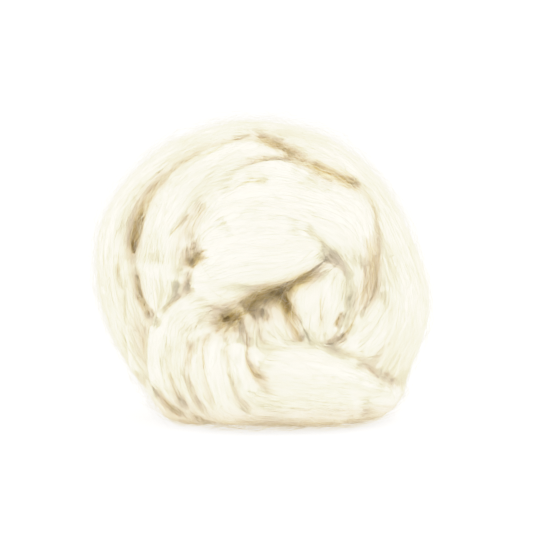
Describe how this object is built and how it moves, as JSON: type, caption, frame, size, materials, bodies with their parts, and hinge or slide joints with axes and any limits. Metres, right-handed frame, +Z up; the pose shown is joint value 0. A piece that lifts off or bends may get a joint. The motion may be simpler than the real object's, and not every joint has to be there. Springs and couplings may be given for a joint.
{
  "type": "ball of tussah silk roving",
  "caption": "Soft hand-wound ball of combed cream silk roving: broad outer wraps round a plump tucked-in middle, resting on a small flat spot, for spinning or felting.",
  "frame": {"origin": "on the surface it rests on, under the middle of the ball's box", "axes": "+X to the right across the ball's widest way, -Y out of the open face where the laps tuck in, +Z up from the resting face"},
  "size_m": [0.1358, 0.1152, 0.1211],
  "materials": {
    "silk_roving": "soft satin of fine combed fibres"
  },
  "bodies": {
    "root": {"roving_ball": "silk_roving"}
  },
  "joints": []
}
